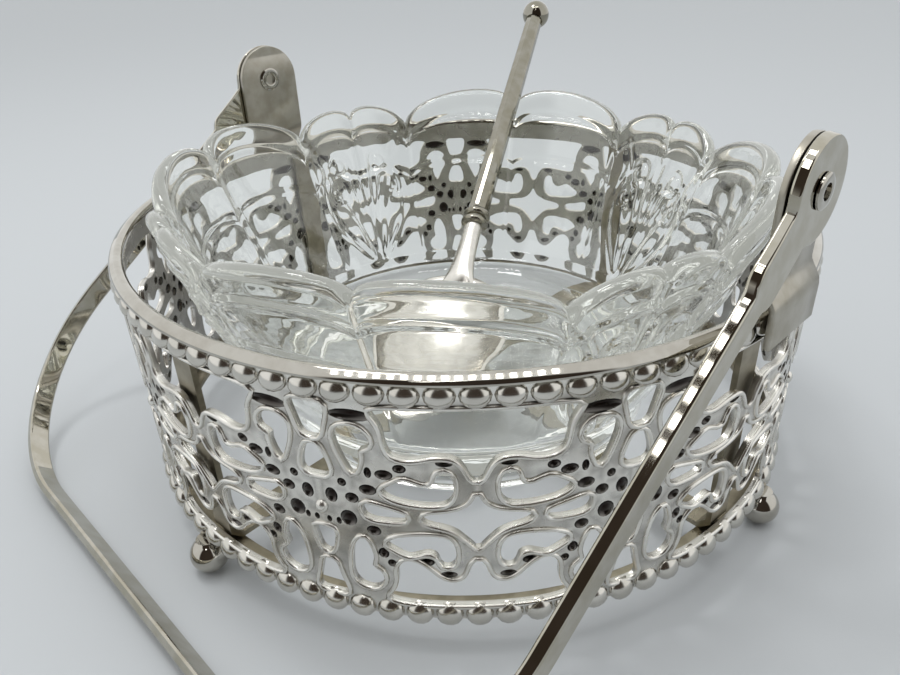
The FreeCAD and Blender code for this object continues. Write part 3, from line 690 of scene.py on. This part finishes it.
def ear_tab(side):
    """The tab's outline carried along its middle line, with a rounded edge all round."""
    fine = np.array([(53.55, 36.9), (53.55, 41.2), (53.5, 41.8), (52.1, 43.9), (52.05, 44.5),
                     (52.05, 60.1)])
    for _ in range(2):
        body = np.stack([0.75 * fine[:-1] + 0.25 * fine[1:], 0.25 * fine[:-1] + 0.75 * fine[1:]], axis=1)
        fine = np.concatenate([fine[:1], body.reshape(-1, 2), fine[-1:]])
    along = np.concatenate([[0], np.cumsum(np.hypot(*np.diff(fine, axis=0).T))])
    straight = np.linspace(0, along[-1] - eye_radius, 30)
    over = along[-1] - eye_radius + eye_radius * np.sin(np.linspace(0, pi / 2, 18))[1:]
    stops = np.concatenate([straight, over])
    x, z = (np.interp(stops, along, fine[:, k]) for k in (0, 1))
    reach = np.maximum(0, stops - (along[-1] - eye_radius))
    half = np.sqrt(np.maximum(0.02, eye_radius ** 2 - reach ** 2))
    slope = np.stack([np.gradient(x, stops), np.gradient(z, stops)], axis=1)
    slope /= np.hypot(*slope.T)[:, None]
    tip = rounded_box(1.0, ear_thick, ear_edge)
    sections = np.stack([rounded_box(w, ear_thick, ear_edge) if w > 0.3 else tip * (w, 1) for w in half])
    path = np.stack([x, 0 * x, z], axis=1)
    wide = np.broadcast_to(np.array([0.0, 1.0, 0.0]), path.shape)
    thick = np.stack([slope[:, 1], 0 * x, -slope[:, 0]], axis=1)
    points = swept(path, wide, thick, sections)
    return points * (side, side, 1), capped(points)


for label, side in (("right", 1), ("left", -1)):
    points, faces = ear_tab(side)
    tab = make_piece(label + "_ear_tab", points, faces, "basket", ear_plate, 30)
    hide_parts(label + "_ear")

# %% [markdown]
# Tubular rivets: a short tube whose ends are rolled over into flat heads. The profile runs down the
# bore, round one head, along the shank and round the other head.

# %% Rivets
pivot_height = 54.1
rivet_profile = [(1.0, -0.42), (1.25, -0.47), (1.8, -0.42), (2.08, -0.22), (2.1, -0.02), (1.48, 0.0),
                 (1.48, 2.47), (2.1, 2.49), (2.08, 2.7), (1.8, 2.88), (1.25, 2.92), (1.0, 2.86),
                 (1.0, -0.42)]
points, faces = revolved(rivet_profile, 40)
x, y, z = points.reshape(-1, 3).T
for label, side in (("right", 1), ("left", -1)):
    turned = np.stack([side * (z + wall_inner), x, side * y + pivot_height], axis=1)
    eyelet = make_piece(label + "_eyelet", turned, faces, "basket", wire_plate, 30)
    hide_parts(label + "_rivet")

# %% [markdown]
# The bail is one flat bar, bent in a wide U. Its ends are hammered out into paddles with an eye. It is
# one section carried along one path: the half width follows the round of the eye, then the neck and
# the shoulder, and then stays that of the bar. Rolling left its edges a little out of square.

# %% The bail's route
rest_angle = radians(50.547)
arm_x, grip, corner_round = 53.35, 82.2, 27.0
corners = np.array([(arm_x, 6.0), (arm_x, -9.0), (arm_x - 2.0, -grip), (-arm_x - 8.3, -grip),
                    (-arm_x, -9.0), (-arm_x, 6.0)])


def bail_route(step):
    """Points along the U: straight runs, with an arc of the corner radius in place of each corner."""
    pieces = []
    begin = corners[0]
    for k, radius in ((1, 30.0), (2, corner_round), (3, corner_round), (4, 30.0)):
        before, corner, after = corners[k - 1], corners[k], corners[k + 1]
        back = (before - corner) / hypot(*(before - corner))
        ahead = (after - corner) / hypot(*(after - corner))
        half = np.arccos(np.clip(back @ ahead, -1, 1)) / 2
        reach = radius / np.tan(half)
        first, last = corner + back * reach, corner + ahead * reach
        count = max(2, int(hypot(*(first - begin)) / step))
        pieces.append(begin + (first - begin) * np.linspace(0, 1, count, endpoint=False)[:, None])
        middle = corner + (back + ahead) / hypot(*(back + ahead)) * radius / np.sin(half)
        a0 = atan2(*(first - middle)[::-1])
        sweep = (atan2(*(last - middle)[::-1]) - a0 + pi) % (2 * pi) - pi
        turn_by = np.linspace(0, sweep, max(3, int(abs(sweep) * radius / step)), endpoint=False)
        pieces.append(middle + radius * np.stack([np.cos(a0 + turn_by), np.sin(a0 + turn_by)], axis=1))
        begin = last
    count = int(hypot(*(corners[-1] - begin)) / step)
    pieces.append(begin + (corners[-1] - begin) * np.linspace(0, 1, count)[:, None])
    return np.concatenate(pieces)


route = bail_route(0.7)
length = np.concatenate([[0], np.cumsum(np.hypot(*np.diff(route, axis=0).T))])
fine_start = eye_radius - eye_radius * np.cos(np.linspace(0, pi / 2, 12))
stops = np.concatenate([fine_start, np.arange(6.6, length[-1] - 6.3, 0.6),
                        length[-1] - fine_start[::-1]])
route = np.stack([np.interp(stops, length, route[:, k]) for k in (0, 1)], axis=1)
print("bail route", round(length[-1]), "mm long with", len(stops), "sections")

# %% The bail's section
neck_half, neck_end, bar_half, bar_start = 3.1, 12, 1.8, 9
edge_slant = 0.27
from_end = np.minimum(stops, length[-1] - stops) - eye_radius
eye = np.sqrt(np.maximum(0.01, eye_radius ** 2 - from_end ** 2)) * (np.abs(from_end) < eye_radius)
neck = np.where((from_end > 0) & (from_end < neck_end), neck_half, 0)
past_neck = np.maximum(0, from_end - neck_end)
shoulder = np.sqrt(np.maximum(0, neck_half ** 2 - past_neck ** 2)) * (from_end >= neck_end)
bar = np.where(from_end > bar_start, bar_half, 0)
half_wide = np.maximum.reduce([eye, neck, shoulder, bar])
half_thick = np.interp(from_end, [9.0, 16.0], [0.6, 0.75])
edge_round = np.minimum(np.interp(from_end, [9.0, 16.0], [0.2, 0.36]), 0.8 * half_wide)
sections = np.stack([rounded_box(t, w, r, 4, 0.05)
                     for w, t, r in zip(half_wide, half_thick, edge_round)])
sections[..., 1] -= edge_slant * sections[..., 0]
ahead = np.gradient(route, stops, axis=0)
ahead /= np.hypot(*ahead.T)[:, None]
path = np.stack([route[:, 0], 0 * stops, route[:, 1]], axis=1)
across_bar = np.stack([ahead[:, 1], 0 * stops, -ahead[:, 0]], axis=1)
wide = np.broadcast_to(np.array([0.0, 1.0, 0.0]), path.shape)
points = swept(path, across_bar, wide, sections)
laid_y = points[..., 1] * cos(rest_angle) + points[..., 2] * sin(rest_angle)
laid_z = -points[..., 1] * sin(rest_angle) + points[..., 2] * cos(rest_angle)
points_laid = np.stack([points[..., 0], laid_y, laid_z + pivot_height], axis=-1)
bail = make_piece("bail_bar", points_laid, capped(points_laid), "bail", bail_plate, 30)
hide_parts("bail")

# %% [markdown]
# The pressed-glass dish is one closed surface, worked out as a radius and a height for each azimuth and
# each step from the middle of the floor, up the inside, over the rim, down the outside and under the
# foot. Wide units of two big scallops stand between narrow units of two small ones. The mould also cut
# a line under each scallop, and a fan of ribs that springs from the foot under each narrow unit.

# %% Dish: scallops of the rim
steps_round = 720
azimuths = np.linspace(0, 360, steps_round, endpoint=False)
unit_start = -0.6


def scalloped(notch, big_dip, big_peak, small_dip, small_peak):
    """A value round the rim: each scallop is an arch, the root of 1 - t squared, on a sloping base."""
    local = (azimuths - unit_start) % 90
    in_big = local < 60
    folded = np.where(in_big, np.where(local < 30, local, 60 - local) / 30,
                      np.where(local < 75, local - 60, 90 - local) / 15)
    dip = np.where(in_big, big_dip, small_dip)
    peak = np.where(in_big, big_peak, small_peak)
    base = notch + (dip - notch) * folded
    arch = np.sqrt(np.maximum(0, 1 - (2 * folded - 1) ** 2)) ** 0.9
    return base + (peak - (notch + dip) / 2) * arch


rim_height = scalloped(42.6, 45.6, 48.7, 45.2, 47.0)
rim_radius = scalloped(44.9, 45.6, 47.6, 45.6, 46.9)

print("dish rim from", rim_height.min().round(1), "to", rim_height.max().round(1), "mm high")

# %% Dish: its wall and what the mould cut
step_radius, step_height, wall_reach = 34.9, 17.2, 10.1


def outer_wall(share):
    """Radius and height on the outside, for shares from the step (0) to just under the rim (1).

    The radius flares as 1 - (1 - share) to the 1.15, and the rim's lobes fade in as share to the 0.8.
    """
    share = share[:, None]
    lobing = (rim_radius - 45.0)[None, :] * share ** 0.8
    radius = step_radius + wall_reach * (1 - (1 - share) ** 1.15) + lobing
    height = step_height + (rim_height[None, :] - 1.3 - step_height) * share
    return radius, height


def ridge(distance, half_wide):
    """A rounded ridge: it falls off as a bell over its half width."""
    return np.exp(-(distance / half_wide) ** 2)


def fan(share):
    """Ribs that spring from the foot of the wall and bend outward, each ending in a small scroll.

    Rib n runs at x = n times 3 times (y / 20) to the 1.4, for n from -2 to 2. Two more run up to the
    notches on both sides of the narrow unit, at x = 11.6 times (y / 27) to the 1.3.
    """
    share = share[:, None]
    from_middle = (azimuths - unit_start - 75 + 45) % 90 - 45
    x = from_middle[None, :] * radians(1) * (35 + 10 * share)
    y = 1 + 26 * share
    total = 0 * x
    for n in (-2, -1, 0, 1, 2):
        end = 22 - 4 * abs(n)
        line = 3.0 * n * (y / 20) ** 1.4
        total = total + ridge(x - line, 0.62) * np.clip((end - y) / 1.2, 0, 1)
        if n:
            side = np.sign(n)
            centre_x = 3.0 * n * (end / 20) ** 1.4 + side * 1.7
            around = np.hypot(x - centre_x, y - end)
            total = total + ridge(around - 1.7, 0.55) * (y > end - 1.6)
    edge = 11.6 * (y / 27) ** 1.3
    total = total + ridge(np.abs(x) - edge, 0.7)
    feather = 11.6 * (y / 27) ** 1.3 + 4.5 * np.sin(np.clip(y / 19, 0, 1) * pi)
    total = total + 0.8 * ridge(np.abs(x) - feather, 0.6) * (y < 19)
    return np.minimum(total, 1.2) * np.clip(share / 0.05, 0, 1)


def rim_line(share):
    """A rounded line that follows each scallop a little under the rim, and one further down."""
    share = share[:, None]
    drop = (1 - share) * (rim_height[None, :] - 18.5)
    arch_drop = drop - (rim_height[None, :] - 42.6) * 0.55
    return ridge(drop - 3.6, 0.55) + 0.7 * ridge(arch_drop - 9.0, 0.6)


# %% Dish: the closed surface
floor_level, wall_thick = 13.6, 3.0
rib_height, line_height = 0.55, 0.45
floor_profile = [(0.0, floor_level), (14.0, floor_level), (26.0, 13.65), (29.0, 14.3), (30.8, 15.6)]
rim_steps = [(-2.35, -0.75), (-1.9, -0.2), (-1.3, 0.0), (-0.7, -0.15), (-0.2, -0.6)]
foot_profile = [(33.2, 16.6), (32.3, 15.4), (31.7, 12.0), (31.5, 8.1), (31.0, 7.56), (27.6, 7.52),
                (27.0, 8.0), (26.7, 9.0), (25.5, 9.1), (0.0, 9.1)]

shares = np.linspace(0, 1, 64)
out_radius, out_height = outer_wall(shares)
out_radius = out_radius + rib_height * fan(shares) + line_height * rim_line(shares)
in_shares = np.linspace(0, 1, 26)
in_radius, in_height = outer_wall(in_shares)
in_radius = in_radius - wall_thick + 0.4 * in_shares[:, None]
ones = np.ones(steps_round)
rows = [(r * ones, h * ones) for r, h in floor_profile]
rows += list(zip(in_radius, in_height))[1:]
rows += [(rim_radius + r, rim_height + h) for r, h in rim_steps]
rows += list(zip(out_radius, out_height))[::-1]
rows += [(r * ones, h * ones) for r, h in foot_profile]
radius, height = np.array(rows).transpose(1, 2, 0)
angle = np.radians(azimuths)[:, None]
points = np.stack([radius * np.cos(angle), radius * np.sin(angle), height], axis=-1)
dish = make_piece("pressed_dish", points, grid_faces(steps_round, len(rows), True, False), "dish",
                  pressed_glass, 60)
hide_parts("glass_dish")

# %% [markdown]
# The spoon leans in a dip of the far rim. It is worked out lying along X with its collar at zero, and
# then tilted and turned into place. Its handle is a faceted bar, thicker at the collar, with a ball on
# the end. The collar is two rings, and the shank below widens into the bowl.

# %% Spoon: where it lies
spoon_azimuth, spoon_tilt = radians(117.3), radians(30.0)
collar_plan, collar_level, spoon_aside = 15.4, 31.7, 2.1


def on_spoon_line(out, across_it, level):
    """Places out along the spoon's line on plan, across that line, and up, turned to its azimuth."""
    x = out * cos(spoon_azimuth) - across_it * sin(spoon_azimuth)
    y = out * sin(spoon_azimuth) + across_it * cos(spoon_azimuth)
    return np.stack([x, y, level], axis=-1)


def along_spoon(points):
    """Points with X up the handle from the collar, Y across and Z square to it, put where it lies."""
    out = collar_plan + points[..., 0] * cos(spoon_tilt) - points[..., 2] * sin(spoon_tilt)
    level = collar_level + points[..., 0] * sin(spoon_tilt) + points[..., 2] * cos(spoon_tilt)
    return on_spoon_line(out, points[..., 1] + spoon_aside, level)


def turned_piece(name, profile):
    """A piece of the spoon that was turned on a lathe: its profile is radius and place up the handle."""
    points, faces = revolved(profile, 32)
    return make_piece(name, along_spoon(points[..., (2, 0, 1)]), faces, "spoon", spoon_plate)


# %% Spoon: handle, ball and collar
stem_stops = np.array([1.7, 2.0, 2.6, 55.8, 57.8, 58.3])
stem_radius = np.array([1.75, 1.98, 2.08, 1.88, 1.8, 1.6])
corner_turn = 0.16
facet = np.linspace(0, 2 * pi, 6, endpoint=False) + pi / 6
corner_pairs = np.stack([facet - corner_turn, facet + corner_turn], axis=1).ravel()
corner_reach = cos(pi / 6) / cos(pi / 6 - corner_turn)
section = np.stack([np.cos(corner_pairs), np.sin(corner_pairs)], axis=1) * corner_reach
sections = stem_radius[:, None, None] * section[None]
path = np.stack([stem_stops, 0 * stem_stops, 0 * stem_stops], axis=1)
y_axis = np.broadcast_to(np.array([0.0, 1.0, 0.0]), path.shape)
z_axis = np.broadcast_to(np.array([0.0, 0.0, 1.0]), path.shape)
points = along_spoon(swept(path, y_axis, z_axis, sections))
handle = make_piece("spoon_handle", points, capped(points), "spoon", spoon_plate, 20)
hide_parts("spoon_stem")

finial_radius, finial_place = 2.88, 58.3
swing = np.linspace(-pi / 2 + 0.7, pi / 2, 18)
finial = turned_piece("spoon_ball", [(0.0, 56.1)] + [
    (finial_radius * cos(t), finial_place + finial_radius * sin(t)) for t in swing])
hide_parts("spoon_finial")

rings = [(1.9 + 0.62 * sin(t), place - 0.72 * cos(t))
         for place in (-0.9, 0.9) for t in np.linspace(0, pi, 8)]
collar = turned_piece("spoon_collar_rings",
                      [(0.0, -1.7), (1.8, -1.7)] + rings + [(1.8, 1.7), (0.0, 1.7)])
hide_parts("spoon_collar")

# %% [markdown]
# The bowl is half an egg, pressed from sheet: its outline is an ellipse that narrows toward the point,
# and its depth is a round that starts steep at the rim. Inner and outer faces are the same function,
# one wall apart. The shank is a section that changes from a small round at the collar to a wide flat.

# %% Spoon: bowl
bowl_tilt = radians(14.0)
bowl_long, bowl_wide, bowl_deep, bowl_wall = 32.0, 22.0, 6.3, 0.9
heel_place, shank_place = 13.7, 1.7
spoon_way = np.array([cos(spoon_tilt), sin(spoon_tilt)])
heel = np.array([collar_plan, collar_level]) - heel_place * spoon_way
belly = hypot(bowl_long / 2 * sin(bowl_tilt), bowl_deep * cos(bowl_tilt))
bowl_out = heel[0] - 14.0 * cos(bowl_tilt)
bowl_level = floor_level + 0.3 + belly


def bowl_point(share, angle, depth):
    """A point of the bowl in its own frame: X to the tip, narrower there by an eighth."""
    narrow = 1 - 0.12 * np.cos(angle)
    x = share * bowl_long / 2 * np.cos(angle)
    y = share * bowl_wide / 2 * np.sin(angle) * narrow
    return x, y, -depth


def in_bowl_frame(x, y, z):
    """The bowl's own frame tilted and put on the spoon's line, tip toward the near side."""
    out = bowl_out - (x * cos(bowl_tilt) + z * sin(bowl_tilt))
    level = bowl_level + (-x * sin(bowl_tilt) + z * cos(bowl_tilt))
    return on_spoon_line(out, y + spoon_aside, level)


around = np.linspace(0, 2 * pi, 56, endpoint=False)[:, None]
down = np.linspace(0, pi / 2, 14)[None, :]
inner_scale = 1 - 2 * bowl_wall / bowl_wide
outer_share, outer_depth = np.cos(down), np.sin(down) * bowl_deep
inner_share, inner_depth = np.cos(down) * inner_scale, np.sin(down) * (bowl_deep - bowl_wall)
lip_share, lip_depth = np.array([[inner_scale + 0.02, 0.99]]), np.array([[-0.12, -0.12]])
share = np.concatenate([inner_share[:, ::-1], lip_share, outer_share], axis=1)
depth = np.concatenate([inner_depth[:, ::-1], lip_depth, outer_depth], axis=1)
bowl_points = in_bowl_frame(*bowl_point(share, around, depth + 0 * around))
print("spoon bowl", bowl_long, "by", bowl_wide, "mm")

# %% Spoon: shank
run = np.linspace(0, 1, 24)
begin = np.array([collar_plan, collar_level]) - shank_place * spoon_way
rim_end = np.array([bowl_out + 14.2 * cos(bowl_tilt), bowl_level + 14.2 * sin(bowl_tilt) - 0.5])
bend = heel + np.array([0.6, 0.1])
line = (((1 - run) ** 2)[:, None] * begin + (2 * run * (1 - run))[:, None] * bend
        + (run ** 2)[:, None] * rim_end)
wide_half = 1.65 + 1.9 * run ** 2
thick_half = 1.65 - 0.95 * run ** 0.8
oval = np.linspace(0, 2 * pi, 20, endpoint=False)
slope = np.gradient(line, axis=0)
slope /= np.hypot(*slope.T)[:, None]
lift = np.stack([slope[:, 1], -slope[:, 0]], axis=1)[:, None, :]
plan_and_level = line[:, None, :] + lift * thick_half[:, None, None] * np.sin(oval)[:, None]
across_it = wide_half[:, None] * np.cos(oval) + spoon_aside
shank_points = on_spoon_line(plan_and_level[..., 0], across_it, plan_and_level[..., 1])
points, faces = joined([(bowl_points, grid_faces(56, share.shape[1], True, False)),
                        (shank_points, capped(shank_points))])
bowl = make_piece("spoon_bowl_and_shank", points, faces, "spoon", bowl_plate, 50)
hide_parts("spoon_bowl")

# %% [markdown]
# The two cradle straps are plain flat strips, and their measured solids already have the right shape.
# They keep their meshes and only get the plate of the basket's inside, painted darker with the
# reflection of the dark inside.

# %% Straps
for node in ("lower_cradle_strap", "upper_cradle_strap"):
    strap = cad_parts[node].data
    strap.materials.clear()
    strap.materials.append(inside_plate)
    print(node, "keeps", len(strap.polygons), "faces")

# %% [markdown]
# The stage is one sheet of pale blue-grey paper in a white light tent, whose light is soft and comes
# from all round. The tent is open in front, and the dark room beyond is what draws the dark edges on
# plate and glass. A row of small lamps in the roof makes the dashes along the rim, a second row in front
# makes those along the bail's right arm, and a panel in the roof makes the soft patches in the glass.

# %% Paper
paper_finish, _, shader, _ = new_finish("matte_paper")
shader.inputs["Base Color"].default_value = linear("#c6cacd")
shader.inputs["Roughness"].default_value = 0.9
shader.inputs["Specular IOR Level"].default_value = 0.2
paper_mesh = bpy.data.meshes.new("paper")
paper_mesh.from_pydata([(-3, -3, 0), (3, -3, 0), (3, 3, 0), (-3, 3, 0)], [], [(0, 1, 2, 3)])
paper_mesh.materials.append(paper_finish)
paper = bpy.data.objects.new("paper", paper_mesh)
scene.collection.objects.link(paper)
paper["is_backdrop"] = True

# %% Light tent
world = bpy.data.worlds.new("light_tent")
scene.world = world
world.use_nodes = True
tent = world.node_tree
sky = tent.nodes["Background"]
view = add_node(tent, "ShaderNodeTexCoord").outputs["Generated"]
toward, aside = (add_node(tent, "ShaderNodeVectorMath", {"operation": "DOT_PRODUCT", 1: way}, {0: view})
                 for way in ((0.705, -0.709, 0.0), (0.709, 0.705, 0.0)))
above = add_node(tent, "ShaderNodeSeparateXYZ", links={0: view})
front = add_node(tent, "ShaderNodeMath", {"operation": "MAXIMUM", 1: 0.02},
                 {0: toward.outputs["Value"]})
over, rise = (add_node(tent, "ShaderNodeMath", {"operation": "DIVIDE"},
                       {0: part, 1: front.outputs["Value"]})
              for part in (aside.outputs["Value"], above.outputs["Z"]))
spread = add_node(tent, "ShaderNodeMath", {"operation": "ABSOLUTE"}, {0: over.outputs["Value"]})
in_width, in_height = (
    add_node(tent, "ShaderNodeMapRange", {"interpolation_type": "SMOOTHSTEP", 1: outer, 2: inner},
             {0: reach.outputs["Value"]})
    for reach, outer, inner in ((spread, 1.05, 0.75), (rise, 3.2, 2.6)))
opening = add_node(tent, "ShaderNodeMath", {"operation": "MULTIPLY"},
                   {0: in_width.outputs["Result"], 1: in_height.outputs["Result"]})
tone = add_node(tent, "ShaderNodeValToRGB", {}, {"Fac": opening.outputs["Value"]},
                ((0.0, linear("#fbfcfc")), (1.0, linear("#413933"))))
tent.links.new(tone.outputs["Color"], sky.inputs["Color"])
sky.inputs["Strength"].default_value = 1.1

# %% Lamps


def soft_panel(name, place_mm, aim_mm, along, wide, high, power):
    """A rectangular lamp at a place that faces an aim point, its wide side along a direction."""
    data = bpy.data.lights.new(name, "AREA")
    data.shape = "RECTANGLE"
    data.size, data.size_y = wide * MM, high * MM
    data.energy = power
    lamp = bpy.data.objects.new(name, data)
    back = (Vector(place_mm) - Vector(aim_mm)).normalized()
    across_lamp = Vector(along) - Vector(along).dot(back) * back
    across_lamp.normalize()
    turn = Matrix((across_lamp, back.cross(across_lamp), back)).transposed().to_4x4()
    lamp.matrix_world = Matrix.Translation(Vector(place_mm) * MM) @ turn
    scene.collection.objects.link(lamp)


# Lamp n of a row stands at start + n times first + n squared times second, so that a row can bend
lamp_rows = (("roof_lamp_%02d", 17, (-99.1, -156.7, 437.6), (18.37, 8.07, 6.91), (-0.25, 0.285, -0.363),
              (34, -40, 41), 8.5, 50, 0.013),
             ("front_lamp_%02d", 7, (117, -229, 373.6), (0, 16.8, 8.4), (0, 0, 0),
              (53, -18, 39), 9, 30, 0.0076))
soft_panel("top_panel", (-150, -40, 480), (0, 0, 20), (1, 1, 0), 110, 70, 0.4)
for name, many, start, first, second, aim, wide, high, power in lamp_rows:
    for n in range(many):
        steps = list(zip(start, first, second))
        soft_panel(name % (n + 1), [s + f * n + q * n * n for s, f, q in steps], aim,
                   [f + 2 * q * n for s, f, q in steps], wide, high, power)
print("tent lit by one panel, 17 roof lamps and 7 front lamps")
scene.view_settings.view_transform = "Standard"

# %% Write the sizes and finish
low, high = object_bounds()
print("visual box", [round(v, 4) for v in (*low, *high)])
